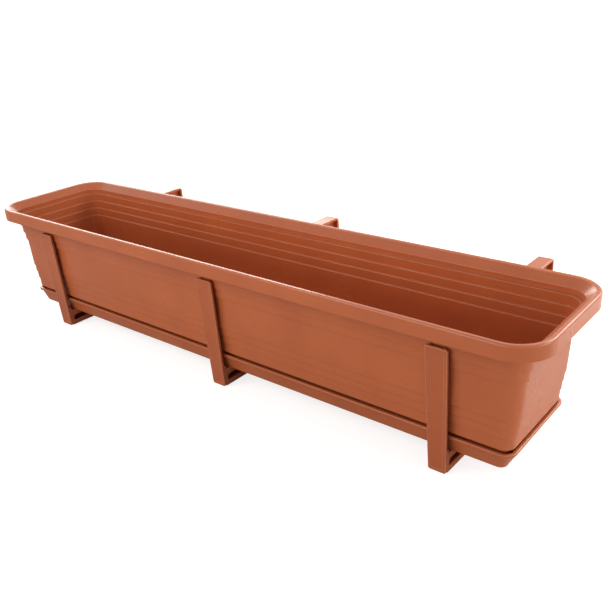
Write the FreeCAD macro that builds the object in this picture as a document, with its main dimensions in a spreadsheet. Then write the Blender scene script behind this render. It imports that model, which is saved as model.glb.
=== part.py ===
import FreeCAD, Part
import math
import os
import Sketcher
from FreeCAD import Placement, Rotation, Vector

# Window box planter: a long trough that stands in a drip tray, carried by three brackets.
# Each bracket is a front half (upright and sleeve arm) and a rear half (tongue, upright, hook).
# X runs along the box, Y from its front to its back, Z up. The origin is on the ground, below
# the middle of the trough. All sizes are in millimetres.

document = FreeCAD.newDocument("WindowBoxPlanter")
sheet = document.addObject("Spreadsheet::Sheet", "Sizes")

SIZES = (
    # the trough's rim, from the outside to the inside
    ("rim_length", 1000.0),
    ("rim_width", 213.0),
    ("rim_corner", 46.0),
    ("rim_band", 7.0),
    ("rim_edge_round", 2.5),
    ("rim_crown", 0.9),
    ("rim_plate", 3.0),
    ("skirt_height", 19.0),
    ("skirt_wall", 2.6),
    ("lip_width", 10.5),
    ("lip_height", 11.0),
    # the trough's walls, with their ledges near the top and their steps near the base
    ("trough_height", 175.5),
    ("wall", 2.8),
    ("wall_inset", 20.0),
    ("first_ledge", 17.5),
    ("ledge_pitch", 13.5),
    ("ledge_depth", 1.9),
    ("ledge_fall", 0.9),
    ("side_draft", 0.021),
    ("end_draft", 0.055),
    ("ledge_lag", 1.4),
    ("base_band", 42.5),
    ("step_pitch", 12.6),
    ("step_depth", 1.1),
    # the trough's base, which sits down into the tray
    ("base_inset", 6.2),
    ("base_draft", 2.4),
    ("foot_height", 6.5),
    ("foot_length", 26.0),
    ("foot_width", 12.0),
    ("foot_pitch", 180.0),
    ("foot_row", 46.0),
    ("drain_diameter", 9.0),
    ("drain_pitch", 115.0),
    ("drain_row", 24.0),
    # the drip tray
    ("tray_height", 24.0),
    ("tray_lip_gap", 4.2),
    ("tray_overhang", 1.4),
    ("tray_flare", 6.8),
    ("tray_end_flare", 10.0),
    ("tray_corner", 13.0),
    ("tray_wall", 2.4),
    ("tray_floor", 2.5),
    ("tray_bead", 1.5),
    ("tray_bead_height", 3.4),
    ("tray_rib_height", 1.4),
    ("tray_rib_width", 3.0),
    ("tray_rib_pitch", 26.0),
    ("tray_rib_length", 820.0),
    # both halves of a bracket
    ("bracket_pitch", 377.0),
    ("middle_shift", 8.0),
    ("arm_height", 27.0),
    ("arm_width", 24.0),
    ("bracket_clearance", 0.7),
    # the front half: upright and sleeve
    ("upright_top_width", 29.5),
    ("upright_depth", 7.0),
    ("upright_lean", 8.0),
    ("upright_plate", 3.6),
    ("upright_edge_break", 0.7),
    ("upright_rib", 2.2),
    ("upright_rib_inset", 4.6),
    ("upright_top_gap", 14.5),
    ("upright_recess", 0.25),
    ("upright_border", 4.2),
    ("upright_root", 6.0),
    ("upright_round", 3.0),
    ("sleeve_floor", 4.0),
    ("sleeve_roof", 4.6),
    ("sleeve_side", 3.4),
    ("sleeve_gap", 9.0),
    ("window_height", 10.0),
    ("window_sill", 7.5),
    ("window_length", 112.0),
    ("window_corner", 4.8),
    ("guide_rib", 0.9),
    ("guide_rib_height", 2.4),
    ("pawl_width", 9.0),
    ("pawl_length", 24.0),
    ("pawl_slot", 1.6),
    # the rear half: tongue, upright and hook
    ("tongue_clearance", 0.35),
    ("tongue_reach", 100.0),
    ("tooth_pitch", 6.0),
    ("tooth_depth", 2.2),
    ("tooth_count", 14.0),
    ("hook_width", 20.0),
    ("hook_web", 4.0),
    ("hook_flange", 4.0),
    ("hook_below_skirt", 7.0),
    ("hook_bar_depth", 20.0),
    ("rear_upright_depth", 19.0),
    ("rail_gap", 82.0),
    ("hook_leg_depth", 26.0),
    ("hook_leg_height", 64.0),
)


class Size:
    """A length known both as a number and as the sheet expression that it follows."""

    def __init__(self, text, number):
        self.text = text
        self.number = float(number)

    def join(self, sign, other, number):
        return Size("(%s %s %s)" % (self.text, sign, other.text), number)

    def __add__(self, other):
        other = as_size(other)
        return self.join("+", other, self.number + other.number)

    def __radd__(self, other):
        return as_size(other) + self

    def __sub__(self, other):
        other = as_size(other)
        return self.join("-", other, self.number - other.number)

    def __rsub__(self, other):
        return as_size(other) - self

    def __mul__(self, other):
        other = as_size(other)
        return self.join("*", other, self.number * other.number)

    def __rmul__(self, other):
        return as_size(other) * self

    def __truediv__(self, other):
        other = as_size(other)
        return self.join("/", other, self.number / other.number)

    def __neg__(self):
        return as_size(0) - self

    def at_least(self, other):
        other = as_size(other)
        text = "max(%s; %s)" % (self.text, other.text)
        return Size(text, max(self.number, other.number))


def as_size(value):
    return value if isinstance(value, Size) else Size(repr(float(value)), value)


class Sheet:
    """Every size by its name, so that a length is written as plain arithmetic."""


sizes = Sheet()
for row, (alias, value) in enumerate(SIZES, start=1):
    cell = "A%d" % row
    sheet.set(cell, str(value))
    sheet.setAlias(cell, alias)
    setattr(sizes, alias, Size("Sizes." + alias, value))
document.recompute()


def origin_plane(body, role):
    return [feature for feature in body.Origin.OriginFeatures if feature.Role == role][0]


def new_body(name):
    body = document.addObject("PartDesign::Body", name)
    body.Label = name
    return body


def new_sketch(body, name, role, offset=None):
    """A sketch on one of the body's own origin planes, moved along the plane's normal."""
    sketch = body.newObject("Sketcher::SketchObject", name)
    sketch.AttachmentSupport = [(origin_plane(body, role), "")]
    sketch.MapMode = "FlatFace"
    if offset is not None:
        sketch.setExpression("AttachmentOffset.Base.z", as_size(offset).text)
    return sketch


def drive(sketch, kind, places, size):
    """A dimension that follows the sheet."""
    size = as_size(size)
    number = sketch.addConstraint(Sketcher.Constraint(kind, *places, size.number))
    sketch.setExpression("Constraints[%d]" % number, size.text)


def add_polygon(sketch, corners):
    """A closed outline whose corners all follow the sheet."""
    first = sketch.GeometryCount
    count = len(corners)
    corners = [(as_size(across), as_size(up)) for across, up in corners]
    spots = [Vector(across.number, up.number, 0) for across, up in corners]
    for index in range(count):
        sketch.addGeometry(Part.LineSegment(spots[index], spots[(index + 1) % count]), False)
    for index in range(count):
        follower = first + (index + 1) % count
        sketch.addConstraint(Sketcher.Constraint("Coincident", first + index, 2, follower, 1))
    for index, (across, up) in enumerate(corners):
        drive(sketch, "DistanceX", (-1, 1, first + index, 1), across)
        drive(sketch, "DistanceY", (-1, 1, first + index, 1), up)


def add_circle(sketch, across, up, diameter):
    across, up, diameter = as_size(across), as_size(up), as_size(diameter)
    centre = Vector(across.number, up.number, 0)
    ring = Part.Circle(centre, Vector(0, 0, 1), diameter.number / 2)
    circle = sketch.addGeometry(ring, False)
    drive(sketch, "DistanceX", (-1, 1, circle, 3), across)
    drive(sketch, "DistanceY", (-1, 1, circle, 3), up)
    drive(sketch, "Diameter", (circle,), diameter)


def rectangle(left, right, low, high):
    return ((left, low), (right, low), (right, high), (left, high))


def rounded_rectangle(body, name, level, length, width, corner):
    """A level rectangle about the body's middle with four round corners."""
    sketch = new_sketch(body, name, "XY_Plane", level)
    half_x, half_y, radius = length.number / 2, width.number / 2, corner.number
    straight_x, straight_y = half_x - radius, half_y - radius
    sides = (
        (Vector(-straight_x, -half_y, 0), Vector(straight_x, -half_y, 0)),
        (Vector(half_x, -straight_y, 0), Vector(half_x, straight_y, 0)),
        (Vector(straight_x, half_y, 0), Vector(-straight_x, half_y, 0)),
        (Vector(-half_x, straight_y, 0), Vector(-half_x, -straight_y, 0)),
    )
    centres = (
        Vector(straight_x, -straight_y, 0),
        Vector(straight_x, straight_y, 0),
        Vector(-straight_x, straight_y, 0),
        Vector(-straight_x, -straight_y, 0),
    )
    for side in range(4):
        sketch.addGeometry(Part.LineSegment(*sides[side]), False)
        ring = Part.Circle(centres[side], Vector(0, 0, 1), radius)
        turn = math.radians(90 * side - 90)
        sketch.addGeometry(Part.ArcOfCircle(ring, turn, turn + math.pi / 2), False)
    for side in range(4):
        line, arc, following = 2 * side, 2 * side + 1, (2 * side + 2) % 8
        sketch.addConstraint(Sketcher.Constraint("Tangent", line, 2, arc, 1))
        sketch.addConstraint(Sketcher.Constraint("Tangent", arc, 2, following, 1))
        if side:
            sketch.addConstraint(Sketcher.Constraint("Equal", 1, arc))
    sketch.addConstraint(Sketcher.Constraint("Horizontal", 0))
    sketch.addConstraint(Sketcher.Constraint("Vertical", 2))
    sketch.addConstraint(Sketcher.Constraint("Symmetric", 0, 1, 4, 1, -1, 1))
    drive(sketch, "DistanceX", (6, 1, 2, 1), length)
    drive(sketch, "DistanceY", (0, 1, 4, 1), width)
    drive(sketch, "Radius", (1,), corner)
    return sketch


def loft(body, name, kind, sketches):
    """A stack of level sections joined by straight walls."""
    feature = body.newObject("PartDesign::" + kind, name)
    feature.Profile = sketches[0]
    feature.Sections = sketches[1:]
    feature.Ruled = True
    return feature


def extrude(body, name, kind, sketch, length=None, reverse=False, middle=False):
    """A pad or a pocket; with no length it goes through everything."""
    feature = body.newObject("PartDesign::" + kind, name)
    feature.Profile = sketch
    if length is None:
        feature.Type = "ThroughAll"
    else:
        feature.Type = "Length"
        feature.setExpression("Length", as_size(length).text)
    if middle:
        feature.SideType = "Symmetric"
    feature.Reversed = reverse
    return feature


def dress_edges(body, name, kind, picked):
    """A fillet or a chamfer on the edges of the body's newest feature that the test picks."""
    document.recompute()
    tip = body.Tip
    names = ["Edge%d" % (i + 1) for i, edge in enumerate(tip.Shape.Edges) if picked(edge)]
    feature = body.newObject("PartDesign::" + kind, name)
    feature.Base = (tip, names)
    return feature


def round_edges(body, name, picked, radius):
    fillet = dress_edges(body, name, "Fillet", picked)
    fillet.setExpression("Radius", as_size(radius).text)


def break_edges(body, name, picked, size):
    chamfer = dress_edges(body, name, "Chamfer", picked)
    chamfer.setExpression("Size", as_size(size).text)


def near(a, b, slack=0.02):
    return abs(a - b) < slack


# Levels that several pieces share.
tray_bottom = sizes.arm_height
tray_top = tray_bottom + sizes.tray_height
feet_bottom = tray_bottom + sizes.tray_floor
rim_top = feet_bottom + sizes.trough_height
skirt_bottom = rim_top - sizes.skirt_height
wall_low = rim_top - tray_top - sizes.tray_lip_gap
step_rows = 3


def wall_section(body, name, depth, inset, drafted=True):
    """The outline of the trough at a depth below its rim, a given distance inside the rim."""
    depth, inset = as_size(depth), as_size(inset)
    side, end = inset, inset
    if drafted:
        side = inset + (depth - sizes.skirt_height) * sizes.side_draft
        end = inset + (depth - sizes.skirt_height) * sizes.end_draft
    corner = (sizes.rim_corner - side).at_least(2)
    length, width = sizes.rim_length - 2 * end, sizes.rim_width - 2 * side
    return rounded_rectangle(body, name, rim_top - depth, length, width, corner)


def wall_stack(body, name, lag, inset):
    """Sections from the rim down to the tray: three ledges, a plain panel and three steps."""
    stack = []
    for row in range(step_rows):
        depth = sizes.first_ledge + sizes.ledge_pitch * (row + 1) + lag
        for part, shift in (("upper", 0), ("lower", 1)):
            at = inset + sizes.ledge_depth * (row + shift)
            down = depth + sizes.ledge_fall * shift
            stack.append(wall_section(body, "%s_ledge_%d_%s" % (name, row + 1, part), down, at))
    below_ledges = inset + sizes.ledge_depth * step_rows
    for row in range(step_rows):
        depth = wall_low - sizes.base_band + sizes.step_pitch * row + lag
        for part, shift in (("upper", 0), ("lower", 1)):
            at = below_ledges + sizes.step_depth * (row + shift)
            down = depth + sizes.ledge_fall * shift
            stack.append(wall_section(body, "%s_step_%d_%s" % (name, row + 1, part), down, at))
    return stack, below_ledges + sizes.step_depth * step_rows


# The trough: rim with its hollow skirt, stepped walls, base plug, feet and drain holes.
trough = new_body("trough")
rim_outline = rounded_rectangle(
    trough, "rim_outline", skirt_bottom, sizes.rim_length, sizes.rim_width, sizes.rim_corner)
extrude(trough, "rim_block", "Pad", rim_outline, sizes.skirt_height)
round_edges(
    trough, "rim_edge", lambda edge: near(edge.BoundBox.ZMin, rim_top.number), sizes.rim_edge_round)
skirt_inside = rounded_rectangle(
    trough, "skirt_inside", skirt_bottom, sizes.rim_length - 2 * sizes.skirt_wall,
    sizes.rim_width - 2 * sizes.skirt_wall, sizes.rim_corner - sizes.skirt_wall)
extrude(trough, "skirt_hollow", "Pocket", skirt_inside, sizes.skirt_height - sizes.rim_plate, True)

lip_inset = sizes.rim_band + sizes.lip_width
slant = sizes.lip_width / sizes.lip_height
plate_inset = sizes.rim_band - 1
lip_back = lip_inset - sizes.wall
lip_back_depth = sizes.rim_plate + (lip_back - plate_inset) / slant
panel_low = sizes.trough_height - sizes.foot_height

outer = [
    wall_section(trough, "core_top", sizes.rim_plate / 2, plate_inset - 1.4, False),
    wall_section(trough, "core_plate", sizes.rim_plate, plate_inset, False),
    wall_section(trough, "core_lip_top", lip_back_depth, lip_back, False),
    wall_section(trough, "core_lip_low", sizes.first_ledge + sizes.wall, lip_back, False),
    wall_section(trough, "core_neck", sizes.first_ledge + sizes.wall + sizes.ledge_fall,
                 sizes.wall_inset, False),
]
lag = sizes.ledge_lag
stack, outer_low = wall_stack(trough, "core", lag, sizes.wall_inset)
outer = outer + stack
plug_top = outer_low + sizes.base_inset
outer = outer + [
    wall_section(trough, "core_wall_low", wall_low, outer_low),
    wall_section(trough, "core_plug_top", wall_low + 0.6, plug_top),
    wall_section(trough, "core_plug_low", panel_low, plug_top + sizes.base_draft),
]
loft(trough, "core", "AdditiveLoft", outer)

crown_start = sizes.rim_edge_round + 0.1
crown_middle = (crown_start + sizes.rim_band) / 2
inner = [
    wall_section(trough, "room_top", -1, crown_start, False),
    wall_section(trough, "room_crest", 0, crown_start, False),
    wall_section(trough, "room_crown", sizes.rim_crown * 0.3, crown_middle, False),
    wall_section(trough, "room_band", sizes.rim_crown, sizes.rim_band, False),
    wall_section(trough, "room_slope", sizes.lip_height, lip_inset, False),
    wall_section(trough, "room_lip", sizes.first_ledge, lip_inset, False),
    wall_section(trough, "room_neck", sizes.first_ledge + sizes.ledge_fall,
                 sizes.wall_inset + sizes.wall, False),
]
stack, inner_low = wall_stack(trough, "room", as_size(0), sizes.wall_inset + sizes.wall)
inner = inner + stack
room_step = wall_low - sizes.wall
inner = inner + [
    wall_section(trough, "room_wall_low", room_step, inner_low),
    wall_section(trough, "room_plug_top", room_step + 0.6, inner_low + sizes.base_inset),
    wall_section(trough, "room_floor", panel_low - sizes.wall,
                 inner_low + sizes.base_inset + sizes.base_draft),
]
loft(trough, "room", "SubtractiveLoft", inner)

feet = new_sketch(trough, "feet_outlines", "XY_Plane", feet_bottom)
for column in range(-2, 3):
    for side in (-1, 1):
        middle_x, middle_y = sizes.foot_pitch * column, sizes.foot_row * side
        add_polygon(feet, rectangle(
            middle_x - sizes.foot_length / 2, middle_x + sizes.foot_length / 2,
            middle_y - sizes.foot_width / 2, middle_y + sizes.foot_width / 2))
extrude(trough, "feet", "Pad", feet, sizes.foot_height + sizes.wall / 2)

drains = new_sketch(trough, "drain_outlines", "XY_Plane", feet_bottom)
for column in range(-3, 4):
    for side in (-1, 1):
        add_circle(drains, sizes.drain_pitch * column, sizes.drain_row * side, sizes.drain_diameter)
extrude(trough, "drains", "Pocket", drains, sizes.foot_height + 2 * sizes.wall, True)

# The drip tray: a flared dish that the trough stands in, with a bead round its lip.
drip_tray = new_body("drip_tray")
reach = (wall_low - sizes.skirt_height)
lip_y = sizes.rim_width / 2 - outer_low - reach * sizes.side_draft + sizes.tray_overhang
lip_x = sizes.rim_length / 2 - outer_low - reach * sizes.end_draft + sizes.tray_overhang


def tray_section(name, level, share, growth, end_share=None):
    """The tray's outline: a share of the flare away from its lip, and a growth all round."""
    level = as_size(level)
    across = lip_y - sizes.tray_flare * share + growth
    along = lip_x - sizes.tray_end_flare * share + growth
    corner = (sizes.tray_corner - 4 * share + growth).at_least(2)
    return rounded_rectangle(drip_tray, name, tray_bottom + level, 2 * along, 2 * across, corner)


bead_low = sizes.tray_height - sizes.tray_bead_height
none = as_size(0)
bead_outline = tray_section("bead_outline", bead_low, none, sizes.tray_bead)
extrude(drip_tray, "bead", "Pad", bead_outline, sizes.tray_bead_height)
round_edges(
    drip_tray, "bead_edge", lambda edge: near(edge.BoundBox.ZMin, tray_top.number), as_size(1))
dish_top = sizes.tray_height - 0.5
dish = [
    tray_section("dish_low", none, as_size(1), none),
    tray_section("dish_top", dish_top, 1 - dish_top / sizes.tray_height, none),
]
loft(drip_tray, "dish", "AdditiveLoft", dish)
over_lip = sizes.tray_height + 1
hollow = [
    tray_section("dish_room_low", sizes.tray_floor, 1 - sizes.tray_floor / sizes.tray_height,
                 -sizes.tray_wall),
    tray_section("dish_room_top", over_lip, 1 - over_lip / sizes.tray_height, -sizes.tray_wall),
]
loft(drip_tray, "dish_room", "SubtractiveLoft", hollow)
ribs = new_sketch(drip_tray, "rib_outlines", "XY_Plane", tray_bottom + sizes.tray_floor / 2)
for row in range(-1, 2):
    middle = sizes.tray_rib_pitch * row
    add_polygon(ribs, rectangle(
        -sizes.tray_rib_length / 2, sizes.tray_rib_length / 2,
        middle - sizes.tray_rib_width / 2, middle + sizes.tray_rib_width / 2))
extrude(drip_tray, "ribs", "Pad", ribs, sizes.tray_floor / 2 + sizes.tray_rib_height)

# The brackets. The front half is a hollow upright on an arm; the arm is a sleeve.
lean_height = rim_top - sizes.skirt_height - sizes.upright_top_gap
back_high = (sizes.rim_width / 2 - sizes.wall_inset - sizes.ledge_depth
             + sizes.bracket_clearance)
back_low = back_high - sizes.upright_lean
half_low = sizes.arm_width / 2
half_high = sizes.upright_top_width / 2
sleeve_end = back_low - sizes.sleeve_gap
sleeve_start = -back_low + 1.5
bore_half = half_low - sizes.sleeve_side
bore_top = sizes.arm_height - sizes.sleeve_roof


def back_at(level):
    """How far the upright's back face is from the box's middle plane at a level."""
    return back_low + sizes.upright_lean * level / lean_height


def half_at(level):
    return half_low + (half_high - half_low) * level / lean_height


def upright_room(body, name, low, high, sides, depths):
    """Room cut out of the front upright between two levels, which follows its lean and taper.

    The sides are two insets from the upright's side edges, the left one counted from the left
    edge; the depths are the room's front and back, counted from the upright's front face.
    """
    sections = []
    for word, level in (("low", as_size(low)), ("high", as_size(high))):
        front = -back_at(level) - sizes.upright_depth
        sketch = new_sketch(body, "%s_%s_%s" % (body.Name, name, word), "XY_Plane", level)
        add_polygon(sketch, rectangle(
            sides[0](half_at(level)), sides[1](half_at(level)), front + depths[0], front + depths[1]))
        sections.append(sketch)
    return loft(body, "%s_%s" % (body.Name, name), "SubtractiveLoft", sections)


def add_front_half(name, place):
    body = new_body(name)
    body.setExpression("Placement.Base.x", place.text)
    high = lean_height
    face = new_sketch(body, name + "_face_outline", "XZ_Plane", back_low)
    add_polygon(face, (
        (-half_low, 0), (half_low, 0), (half_high, high), (-half_high, high)))
    extrude(body, name + "_face", "Pad", face, sizes.upright_lean + sizes.upright_depth)

    def corner_post(edge):
        box = edge.BoundBox
        level = near(box.ZMax, box.ZMin) and box.YLength > 3
        return level and (near(box.ZMin, high.number) or near(box.ZMin, 0))

    round_edges(body, name + "_corners", corner_post, sizes.upright_round)

    under, over = as_size(-2), high + 2
    ahead = -back_high - sizes.upright_depth - 3
    wedges = new_sketch(body, name + "_lean_outline", "YZ_Plane", 0)
    add_polygon(wedges, (
        (-back_at(under) - sizes.upright_depth, under), (-back_at(over) - sizes.upright_depth, over),
        (ahead, over), (ahead, under)))
    add_polygon(wedges, (
        (-back_at(under), under), (-back_low + 3, under), (-back_low + 3, over),
        (-back_at(over), over)))
    extrude(body, name + "_lean", "Pocket", wedges, middle=True)

    def front_edge(edge):
        """Whether an edge lies in the leaning front face."""
        return all(
            near(point.y, -back_at(as_size(point.z)).number - sizes.upright_depth.number)
            for point in edge.discretize(4))

    break_edges(body, name + "_front_edges", front_edge, sizes.upright_edge_break)

    border = sizes.upright_border
    upright_room(
        body, "panel", border, high - border,
        (lambda half: border - half, lambda half: half - border), (as_size(-1), sizes.upright_recess))

    # Behind the plate two ribs run up to its top; beside and between them it is open.
    free_low = sizes.arm_height + sizes.upright_root
    behind = (sizes.upright_plate, sizes.upright_depth + 3)
    outside, inside = sizes.upright_rib_inset, sizes.upright_rib_inset + sizes.upright_rib
    rooms = (
        ("middle_room", lambda half: inside - half, lambda half: half - inside),
        ("left_room", lambda half: -half - 1, lambda half: outside - half),
        ("right_room", lambda half: half - outside, lambda half: half + 1),
    )
    for word, left, right in rooms:
        upright_room(body, word, free_low, high + 1, (left, right), behind)

    arm = new_sketch(body, name + "_arm_outline", "YZ_Plane", 0)
    add_polygon(arm, rectangle(-back_low - 2, sleeve_end, 0, sizes.arm_height))
    extrude(body, name + "_arm", "Pad", arm, sizes.arm_width, middle=True)

    bore = new_sketch(body, name + "_bore_outline", "YZ_Plane", 0)
    add_polygon(bore, rectangle(sleeve_start, sleeve_end + 5, sizes.sleeve_floor, bore_top))
    extrude(body, name + "_bore", "Pocket", bore, 2 * bore_half, middle=True)

    window = new_sketch(body, name + "_window_outline", "YZ_Plane", 0)
    low, top = sizes.window_sill, sizes.window_sill + sizes.window_height
    start, end, nip = sleeve_start, sleeve_start + sizes.window_length, sizes.window_corner
    add_polygon(window, (
        (start, low), (end - nip / 2, low), (end, low + nip / 2), (end, top - nip / 2),
        (end - nip / 2, top), (start + nip, top), (start + nip * 0.3, top - nip * 0.3),
        (start, top - nip)))
    extrude(body, name + "_window", "Pocket", window, sizes.arm_width, True)

    ribs = new_sketch(body, name + "_rib_outlines", "YZ_Plane", -bore_half - 1)
    room = bore_top - sizes.sleeve_floor
    for share in (0.3, 0.7):
        middle = sizes.sleeve_floor + room * share
        add_polygon(ribs, rectangle(
            sleeve_start - 1, sleeve_end,
            middle - sizes.guide_rib_height / 2, middle + sizes.guide_rib_height / 2))
    extrude(body, name + "_ribs", "Pad", ribs, sizes.guide_rib + 1)

    pawl = new_sketch(body, name + "_pawl_slot", "XY_Plane", 0)
    far, close = sleeve_end - 8, sleeve_end - 8 - sizes.pawl_length
    edge, slot = sizes.pawl_width / 2, sizes.pawl_slot
    add_polygon(pawl, (
        (-edge - slot, far), (-edge - slot, close), (edge + slot, close), (edge + slot, far),
        (edge, far), (edge, close + slot), (-edge, close + slot), (-edge, far)))
    extrude(body, name + "_pawl", "Pocket", pawl, sizes.sleeve_floor + 1, True)
    return body


# The rear half: the tongue that slides in the sleeve, and an upright with a hook for the rail.
hook_top = skirt_bottom - sizes.hook_below_skirt
hook_low = hook_top - sizes.hook_bar_depth
tongue_low = sizes.sleeve_floor + sizes.tongue_clearance
tongue_high = bore_top - sizes.tongue_clearance
tongue_start = sleeve_end - sizes.tongue_reach
rear_near = back_high + sizes.ledge_depth
rail_near = back_high + sizes.rear_upright_depth
rail_far = rail_near + sizes.rail_gap
leg_far = rail_far + sizes.hook_leg_depth
leg_low = hook_top - sizes.hook_leg_height


def add_rear_half(name, place):
    body = new_body(name)
    body.setExpression("Placement.Base.x", place.text)
    half = sizes.hook_width / 2
    side = new_sketch(body, name + "_side_outline", "YZ_Plane", 0)
    add_polygon(side, (
        (back_low, 0), (rail_near, 0), (rail_near, hook_low), (rail_far, hook_low),
        (rail_far, leg_low), (leg_far, leg_low), (leg_far, hook_top), (rear_near, hook_top),
        (rear_near, lean_height), (back_at(lean_height - 3), lean_height - 3)))
    extrude(body, name + "_side", "Pad", side, sizes.hook_width, middle=True)

    def crosswise(edge, y, z):
        box = edge.BoundBox
        return box.XLength > 3 and near(box.YMin, y.number) and near(box.ZMin, z.number)

    def rounded(edge):
        return crosswise(edge, leg_far, hook_top) or crosswise(edge, leg_far, leg_low)

    def tight(edge):
        spots = ((rail_far, leg_low), (rail_near, as_size(0)), (rail_near, hook_low),
                 (rail_far, hook_low))
        return any(crosswise(edge, y, z) for y, z in spots)

    round_edges(body, name + "_outer_rounds", rounded, as_size(7))
    round_edges(body, name + "_inner_rounds", tight, as_size(3.5))

    rim = sizes.hook_flange
    for hand, reverse in ((1, False), (-1, True)):
        word = "right" if hand > 0 else "left"
        cut = new_sketch(body, "%s_web_%s" % (name, word), "YZ_Plane", sizes.hook_web * 0.5 * hand)
        add_polygon(cut, (
            (back_low + rim + 1.5, sizes.arm_height + rim), (rail_near - rim, sizes.arm_height + rim),
            (rail_near - rim, hook_low + rim), (rail_far + rim, hook_low + rim),
            (rail_far + rim, leg_low + rim), (leg_far - rim, leg_low + rim),
            (leg_far - rim, hook_top - rim), (rear_near + rim, hook_top - rim),
            (rear_near + rim, lean_height), (back_at(lean_height - 3) + rim, lean_height - 3)))
        extrude(body, "%s_panel_%s" % (name, word), "Pocket", cut, sizes.hook_width, hand > 0)

    left = -bore_half + sizes.guide_rib + sizes.tongue_clearance
    right = bore_half - sizes.tongue_clearance
    tongue = new_sketch(body, name + "_tongue_outline", "XY_Plane", tongue_low)
    add_polygon(tongue, rectangle(left, right, tongue_start, back_low + 2))
    extrude(body, name + "_tongue", "Pad", tongue, tongue_high - tongue_low)

    teeth = new_sketch(body, name + "_teeth_outline", "YZ_Plane", 0)
    for index in range(int(sizes.tooth_count.number)):
        tip = tongue_start + 6 + sizes.tooth_pitch * index
        add_polygon(teeth, (
            (tip, tongue_low - 1), (tip + sizes.tooth_pitch - 1, tongue_low - 1),
            (tip + sizes.tooth_pitch - 1, tongue_low + sizes.tooth_depth * 0.2),
            (tip, tongue_low + sizes.tooth_depth)))
    extrude(body, name + "_teeth", "Pocket", teeth, sizes.arm_width, middle=True)
    return body


places = (
    ("left", -sizes.bracket_pitch),
    ("middle", sizes.middle_shift),
    ("right", as_size(sizes.bracket_pitch)),
)
brackets = []
for word, place in places:
    brackets.append(add_front_half("bracket_front_" + word, place))
    brackets.append(add_rear_half("bracket_rear_" + word, place))

document.recompute()
pieces = [trough, drip_tray] + brackets
for item in document.Objects:
    if "Invalid" in item.State or "Error" in item.State:
        raise RuntimeError("%s could not be built" % item.Name)
os.makedirs("parts", exist_ok=True)
for piece in pieces:
    shape = piece.Shape
    if shape.isNull() or not shape.isValid() or len(shape.Solids) != 1:
        raise RuntimeError("%s is not one sound solid" % piece.Label)
    shape.exportStep(os.path.join("parts", piece.Label + ".step"))
    box = shape.BoundBox
    print("%-22s %8.0f mm3" % (piece.Label, shape.Volume), box)
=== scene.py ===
# %% [markdown]
# # A hanging window box in terracotta-coloured plastic
# The object is a one metre long plant trough. It stands in a drip tray, and three brackets carry
# both and hook over a rail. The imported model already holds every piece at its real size, so this
# script's work is light, camera and, above all, the look of moulded plastic.

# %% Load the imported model
import math

import bpy
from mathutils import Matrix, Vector


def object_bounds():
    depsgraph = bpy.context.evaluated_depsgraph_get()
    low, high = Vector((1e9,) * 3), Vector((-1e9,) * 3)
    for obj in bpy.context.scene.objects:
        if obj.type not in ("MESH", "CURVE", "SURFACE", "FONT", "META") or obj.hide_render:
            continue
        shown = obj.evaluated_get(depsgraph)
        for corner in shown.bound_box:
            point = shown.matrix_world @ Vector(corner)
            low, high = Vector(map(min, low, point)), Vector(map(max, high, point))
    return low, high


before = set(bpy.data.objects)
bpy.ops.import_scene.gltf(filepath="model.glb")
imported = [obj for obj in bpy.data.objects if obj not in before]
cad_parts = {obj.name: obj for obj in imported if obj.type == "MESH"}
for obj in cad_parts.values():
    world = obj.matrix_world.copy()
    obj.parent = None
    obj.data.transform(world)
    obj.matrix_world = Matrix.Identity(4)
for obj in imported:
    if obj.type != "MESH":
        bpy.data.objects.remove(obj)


def plain_box(corners):
    return [[float(number) for number in corner] for corner in corners]


cad_box = plain_box(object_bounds())
print("pieces:", ", ".join(sorted(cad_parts)))
print("CAD box:", cad_box)

# %% [markdown]
# ## The camera
# The photograph was taken from in front and to the right, looking down a little. A camera could
# be placed by eye, but the rim, the tray and the walls give enough straight edges to work out
# where it stood. Those numbers are used here: its place in metres, its three turns and its lens.

# %% The camera at the photograph's place
CAMERA_PLACE = (0.7386, -0.7311, 0.5582)
CAMERA_TURNS = (65.391, 3.142, 38.836)      # degrees about X, Y and Z
LENS_MM = 43.444
SENSOR_MM = 36.0
NEAREST_SEEN = 0.01

camera_data = bpy.data.cameras.new("photo_camera")
camera_data.sensor_width = SENSOR_MM
camera_data.lens = LENS_MM
camera_data.clip_start = NEAREST_SEEN
camera = bpy.data.objects.new("photo_camera", camera_data)
camera.location = CAMERA_PLACE
camera.rotation_euler = [math.radians(turn) for turn in CAMERA_TURNS]
bpy.context.scene.collection.objects.link(camera)
bpy.context.scene.camera = camera
print("camera at", tuple(camera.location), "lens", camera_data.lens)

# %% [markdown]
# ## Small helpers
# Colours are written as the hex values that an artist reads off a swatch, and turned to the
# linear numbers that the shader works in. One function adds a shader node with its settings and
# its links, so each material below reads as a short recipe.

# %% Colour and node helpers
MM = 0.001


def linear(hex_colour):
    """An sRGB hex colour as linear red, green, blue and alpha."""
    channels = [int(hex_colour[place:place + 2], 16) / 255 for place in (1, 3, 5)]
    curve = [c / 12.92 if c <= 0.04045 else ((c + 0.055) / 1.055) ** 2.4 for c in channels]
    return (*curve, 1.0)


def add_node(tree, kind, settings=None, inputs=None):
    """Adds a node, sets its own settings and gives its sockets a value or a link."""
    node = tree.nodes.new("ShaderNode" + kind)
    for name, value in (settings or {}).items():
        setattr(node, name, value)
    for name, value in (inputs or {}).items():
        if isinstance(value, bpy.types.NodeSocket):
            tree.links.new(value, node.inputs[name])
        else:
            node.inputs[name].default_value = value
    return node


print("terracotta in linear numbers:", [round(c, 4) for c in linear("#B5633F")[:3]])

# %% [markdown]
# ## The stage
# The real box was photographed on plain white. The floor is a wide plane just under the lowest
# part. Its own paint is a mid grey, so that it throws little light up at the plastic. A light of
# its own, seen by the camera only, lifts it to white: less near the object, where the soft shadow
# should still show, and more further off. The world is white to the camera and to reflections,
# and a dim grey to everything else.

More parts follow.
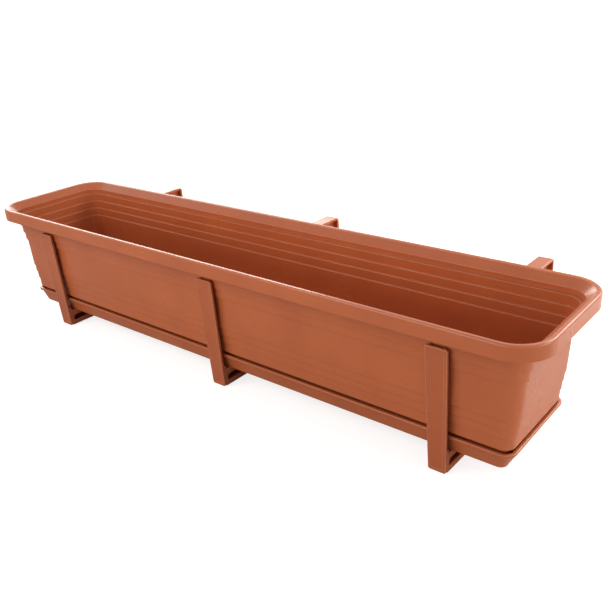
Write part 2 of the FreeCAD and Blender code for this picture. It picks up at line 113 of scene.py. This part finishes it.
# %% Floor and world
FLOOR_WIDTH = 24.0
FLOOR_GAP = 0.5 * MM                        # keeps the floor clear of the lowest faces
FLOOR_GREY = linear("#BDBDBD")
FLOOR_GLOW_NEAR, FLOOR_GLOW_FAR = 0.75, 1.0
GLOW_STARTS, GLOW_ENDS = 0.9, 2.2           # metres from the middle of the floor
WORLD_LIGHT = 0.36
WHITE = (1, 1, 1, 1)

bpy.ops.object.select_all(action="DESELECT")
floor_height = cad_box[0][2] - FLOOR_GAP
bpy.ops.mesh.primitive_plane_add(size=FLOOR_WIDTH, location=(0, 0, floor_height))
floor = bpy.context.active_object
floor.name = "studio_floor"

floor_paint = bpy.data.materials.new("studio_floor_white")
floor_paint.use_nodes = True
tree = floor_paint.node_tree
tree.nodes.clear()
rays = add_node(tree, "LightPath")
place = add_node(tree, "TexCoord")
reach = add_node(tree, "VectorMath", {"operation": "LENGTH"}, {0: place.outputs["Object"]})
lift = add_node(tree, "MapRange", inputs={
    "Value": reach.outputs["Value"], "From Min": GLOW_STARTS, "From Max": GLOW_ENDS,
    "To Min": FLOOR_GLOW_NEAR, "To Max": FLOOR_GLOW_FAR})
matt = add_node(tree, "BsdfDiffuse", inputs={"Color": FLOOR_GREY})
glow = add_node(tree, "Emission", inputs={"Color": WHITE, "Strength": lift.outputs[0]})
lifted = add_node(tree, "AddShader")
tree.links.new(matt.outputs[0], lifted.inputs[0])
tree.links.new(glow.outputs[0], lifted.inputs[1])
seen = add_node(tree, "MixShader", inputs={0: rays.outputs["Is Camera Ray"]})
tree.links.new(matt.outputs[0], seen.inputs[1])
tree.links.new(lifted.outputs[0], seen.inputs[2])
add_node(tree, "OutputMaterial", inputs={"Surface": seen.outputs[0]})
floor.data.materials.append(floor_paint)

world = bpy.data.worlds.new("studio_world")
bpy.context.scene.world = world
world.use_nodes = True
tree = world.node_tree
tree.nodes.clear()
rays = add_node(tree, "LightPath")
direct = add_node(tree, "Math", {"operation": "MAXIMUM"},
                  {0: rays.outputs["Is Camera Ray"], 1: rays.outputs["Is Glossy Ray"]})
soft = add_node(tree, "Background", inputs={"Color": WHITE, "Strength": WORLD_LIGHT})
white = add_node(tree, "Background", inputs={"Color": WHITE, "Strength": 1.0})
mixed = add_node(tree, "MixShader", inputs={0: direct.outputs[0]})
tree.links.new(soft.outputs[0], mixed.inputs[1])
tree.links.new(white.outputs[0], mixed.inputs[2])
add_node(tree, "OutputWorld", inputs={"Surface": mixed.outputs[0]})
print("floor and world ready")

# %% [markdown]
# ## The light
# Soft studio light could come from the world alone, but then every side looks the same. Six soft
# panels shape it here, each with one job. The sweep panel brightens the floor behind the box, and
# the right end and the hooks mirror that floor. The right panel is low and lights the right end,
# the brightest side. The back panel is what the crest of the front rim mirrors in a thin pale
# line. The high panel, at the front left, catches the ledges inside. The front panel is low, so
# that it lights the long wall and leaves the bottom of the trough dark. The left panel is weak, and
# only keeps the left end from going flat.

# %% Six soft panels
PANEL_WHITE = linear("#FFFAF2")[:3]


def add_panel(name, place, aim, size, watts, spread=180):
    """A soft panel of light at a place, turned to face a point."""
    data = bpy.data.lights.new(name, "AREA")
    data.shape = "RECTANGLE"
    data.size, data.size_y = size
    data.energy = watts
    data.color = PANEL_WHITE
    data.spread = math.radians(spread)
    panel = bpy.data.objects.new(name, data)
    panel.location = place
    panel.rotation_euler = (Vector(aim) - Vector(place)).to_track_quat("-Z", "Y").to_euler()
    bpy.context.scene.collection.objects.link(panel)


# name, place, point it faces, width and height in metres, watts, and spread in degrees
add_panel("sweep_panel", (0.7, 1.35, 1.0), (0.5, 0.95, 0), (1.2, 0.8), 22, 100)
add_panel("right_panel", (2.1, 0.35, 0.42), (0.4, 0.05, 0.12), (1.2, 0.8), 19)
add_panel("back_panel", (-2.0, 1.45, 0.9), (0, 0, 0.15), (1.8, 0.9), 28)
add_panel("left_panel", (-2.3, -0.5, 1.3), (-0.2, 0, 0.15), (1.3, 1.2), 3)
add_panel("high_panel", (-0.9, -1.4, 1.45), (0.1, 0, 0.1), (0.6, 0.6), 11)
add_panel("front_panel", (0.0, -1.5, 0.5), (0, 0, 0.1), (1.0, 0.6), 10)
bpy.context.scene.view_settings.view_transform = "Standard"

# %% [markdown]
# ## The plastic
# The pieces are polypropylene, dyed through in a terracotta colour and injection moulded in steel
# tools with a fine spark-eroded finish. To the eye that is an even colour with faint clouds where
# the melt flowed, and a satin sheen. The real grain is too fine to show at this distance, so it is
# drawn at about a millimetre. The bevel node rounds edges that are sharp in the model for the
# light, by less than a millimetre. The same node finds the edges: where its rounded direction
# turns away from the face's own, a pale colour is painted on as a highlight, partly standing for
# handling wear, and the edge is made smoother, as handling leaves it. The painted highlight goes
# only on outer edges that don't face down, where light from above falls; inside corners stay as
# moulded.

# %% Sizes of the plastic's detail
CLOUD_WIDTH = 90 * MM
GRAIN_WIDTH = 0.9 * MM
GRAIN_HEIGHT = 0.15 * MM
GRAIN_STRENGTH = 0.1
EDGE_RADIUS = 0.7 * MM
CORNER_REACH = 3 * MM                       # an edge counts as outer if it is open this far around
# pale colour painted along upper outer edges: a painted highlight, partly handling wear
EDGE_HIGHLIGHT_COLOUR = linear("#F0AC84")
RUBBED_SMOOTHER = -0.1
ROUGHNESS_BELOW, ROUGHNESS_ABOVE = 0.04, 0.05
POLYPROPYLENE_IOR = 1.45                    # a little under the usual 1.49, matched to the sheen
print("cloud, grain and edge in metres:", CLOUD_WIDTH, GRAIN_WIDTH, EDGE_RADIUS)

# %% Moulded polypropylene


def moulded_plastic(name, colour, cloud_colour, roughness):
    """Satin, dyed polypropylene with flow clouds, a fine grain and a painted highlight on upper
    outer edges, partly wear.
    """
    material = bpy.data.materials.new(name)
    material.use_nodes = True
    tree = material.node_tree
    tree.nodes.clear()
    place = add_node(tree, "TexCoord")
    spot = place.outputs["Object"]

    # the dye, with its clouds
    clouds = add_node(tree, "TexNoise", inputs={
        "Vector": spot, "Scale": 1 / CLOUD_WIDTH, "Detail": 4.0, "Roughness": 0.55})
    tone = add_node(tree, "MapRange", inputs={
        "Value": clouds.outputs[0], "From Min": 0.35, "From Max": 0.7})
    dye = add_node(tree, "Mix", {"data_type": "RGBA"}, {
        0: tone.outputs[0], 6: linear(colour), 7: linear(cloud_colour)})

    # the edges: where the rounded direction turns away from the face's own
    edge = add_node(tree, "Bevel", {"samples": 4}, {"Radius": EDGE_RADIUS})
    face = add_node(tree, "NewGeometry")
    turn = add_node(tree, "VectorMath", {"operation": "DOT_PRODUCT"}, {
        0: edge.outputs[0], 1: face.outputs["Normal"]})
    edge_turn = add_node(tree, "MapRange", inputs={
        "Value": turn.outputs["Value"], "From Min": 0.995, "From Max": 0.94})

    # painted highlight only on outer edges that don't face down, where light from above falls;
    # partly handling wear
    openness = add_node(tree, "AmbientOcclusion", {"samples": 4}, {"Distance": CORNER_REACH})
    outer = add_node(tree, "MapRange", inputs={
        "Value": openness.outputs["AO"], "From Min": 0.75, "From Max": 0.95, "To Max": 0.9})
    facing = add_node(tree, "SeparateXYZ", inputs={0: edge.outputs[0]})
    above = add_node(tree, "MapRange", inputs={
        "Value": facing.outputs["Z"], "From Min": -0.3, "From Max": -0.05})
    upward_outer_edge = add_node(tree, "Math", {"operation": "MULTIPLY"}, {
        0: outer.outputs[0], 1: above.outputs[0]})
    # mask of the painted edge highlight, partly wear; it also drives the smoother roughness below
    edge_highlight_and_wear = add_node(tree, "Math", {"operation": "MULTIPLY"}, {
        0: edge_turn.outputs[0], 1: upward_outer_edge.outputs[0]})
    # the pale painted highlight mixed into the dye along these edges
    dye_with_edge_highlight = add_node(tree, "Mix", {"data_type": "RGBA"}, {
        0: edge_highlight_and_wear.outputs[0], 6: dye.outputs[2], 7: EDGE_HIGHLIGHT_COLOUR})

    # the grain and the sheen
    grain = add_node(tree, "TexNoise", inputs={
        "Vector": spot, "Scale": 1 / GRAIN_WIDTH, "Detail": 2.0})
    relief = add_node(tree, "Bump", inputs={
        "Height": grain.outputs[0], "Strength": GRAIN_STRENGTH, "Distance": GRAIN_HEIGHT,
        "Normal": edge.outputs[0]})
    shine = add_node(tree, "MapRange", inputs={
        "Value": clouds.outputs[0], "From Min": 0.3, "From Max": 0.7,
        "To Min": roughness - ROUGHNESS_BELOW, "To Max": roughness + ROUGHNESS_ABOVE})
    burnish = add_node(tree, "Math", {"operation": "MULTIPLY_ADD"}, {
        0: edge_highlight_and_wear.outputs[0], 1: RUBBED_SMOOTHER, 2: shine.outputs[0]})
    skin = add_node(tree, "BsdfPrincipled", inputs={
        "Base Color": dye_with_edge_highlight.outputs[2], "Roughness": burnish.outputs[0],
        "IOR": POLYPROPYLENE_IOR, "Normal": relief.outputs[0]})
    add_node(tree, "OutputMaterial", inputs={"Surface": skin.outputs[0]})
    return material


print("moulded_plastic makes one dyed polypropylene")

# %% [markdown]
# ## Which piece gets which plastic
# The trough, the tray and the brackets are separate mouldings, so their colour can differ a little.
# One material for all would be simpler. Three that differ by a few steps keep the pieces apart to
# the eye, and the brackets are a touch duller.

# %% Give each piece its plastic


def finish_node(node_name, material):
    """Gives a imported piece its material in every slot."""
    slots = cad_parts[node_name].material_slots
    for slot in slots:
        slot.material = material
    if not slots:
        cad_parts[node_name].data.materials.append(material)


trough_plastic = moulded_plastic("polypropylene_trough", "#B56139", "#AC5A35", 0.30)
tray_plastic = moulded_plastic("polypropylene_tray", "#B15E37", "#A85733", 0.30)
bracket_plastic = moulded_plastic("polypropylene_bracket", "#AF5C37", "#A65533", 0.32)
finish_node("trough", trough_plastic)
finish_node("drip_tray", tray_plastic)
for side in ("left", "middle", "right"):
    finish_node("bracket_front_" + side, bracket_plastic)
    finish_node("bracket_rear_" + side, bracket_plastic)
print("materials:", [m.name for m in bpy.data.materials])

# %% [markdown]
# ## Finish
# The view layer is brought up to date.

# %% Finish
bpy.context.view_layer.update()
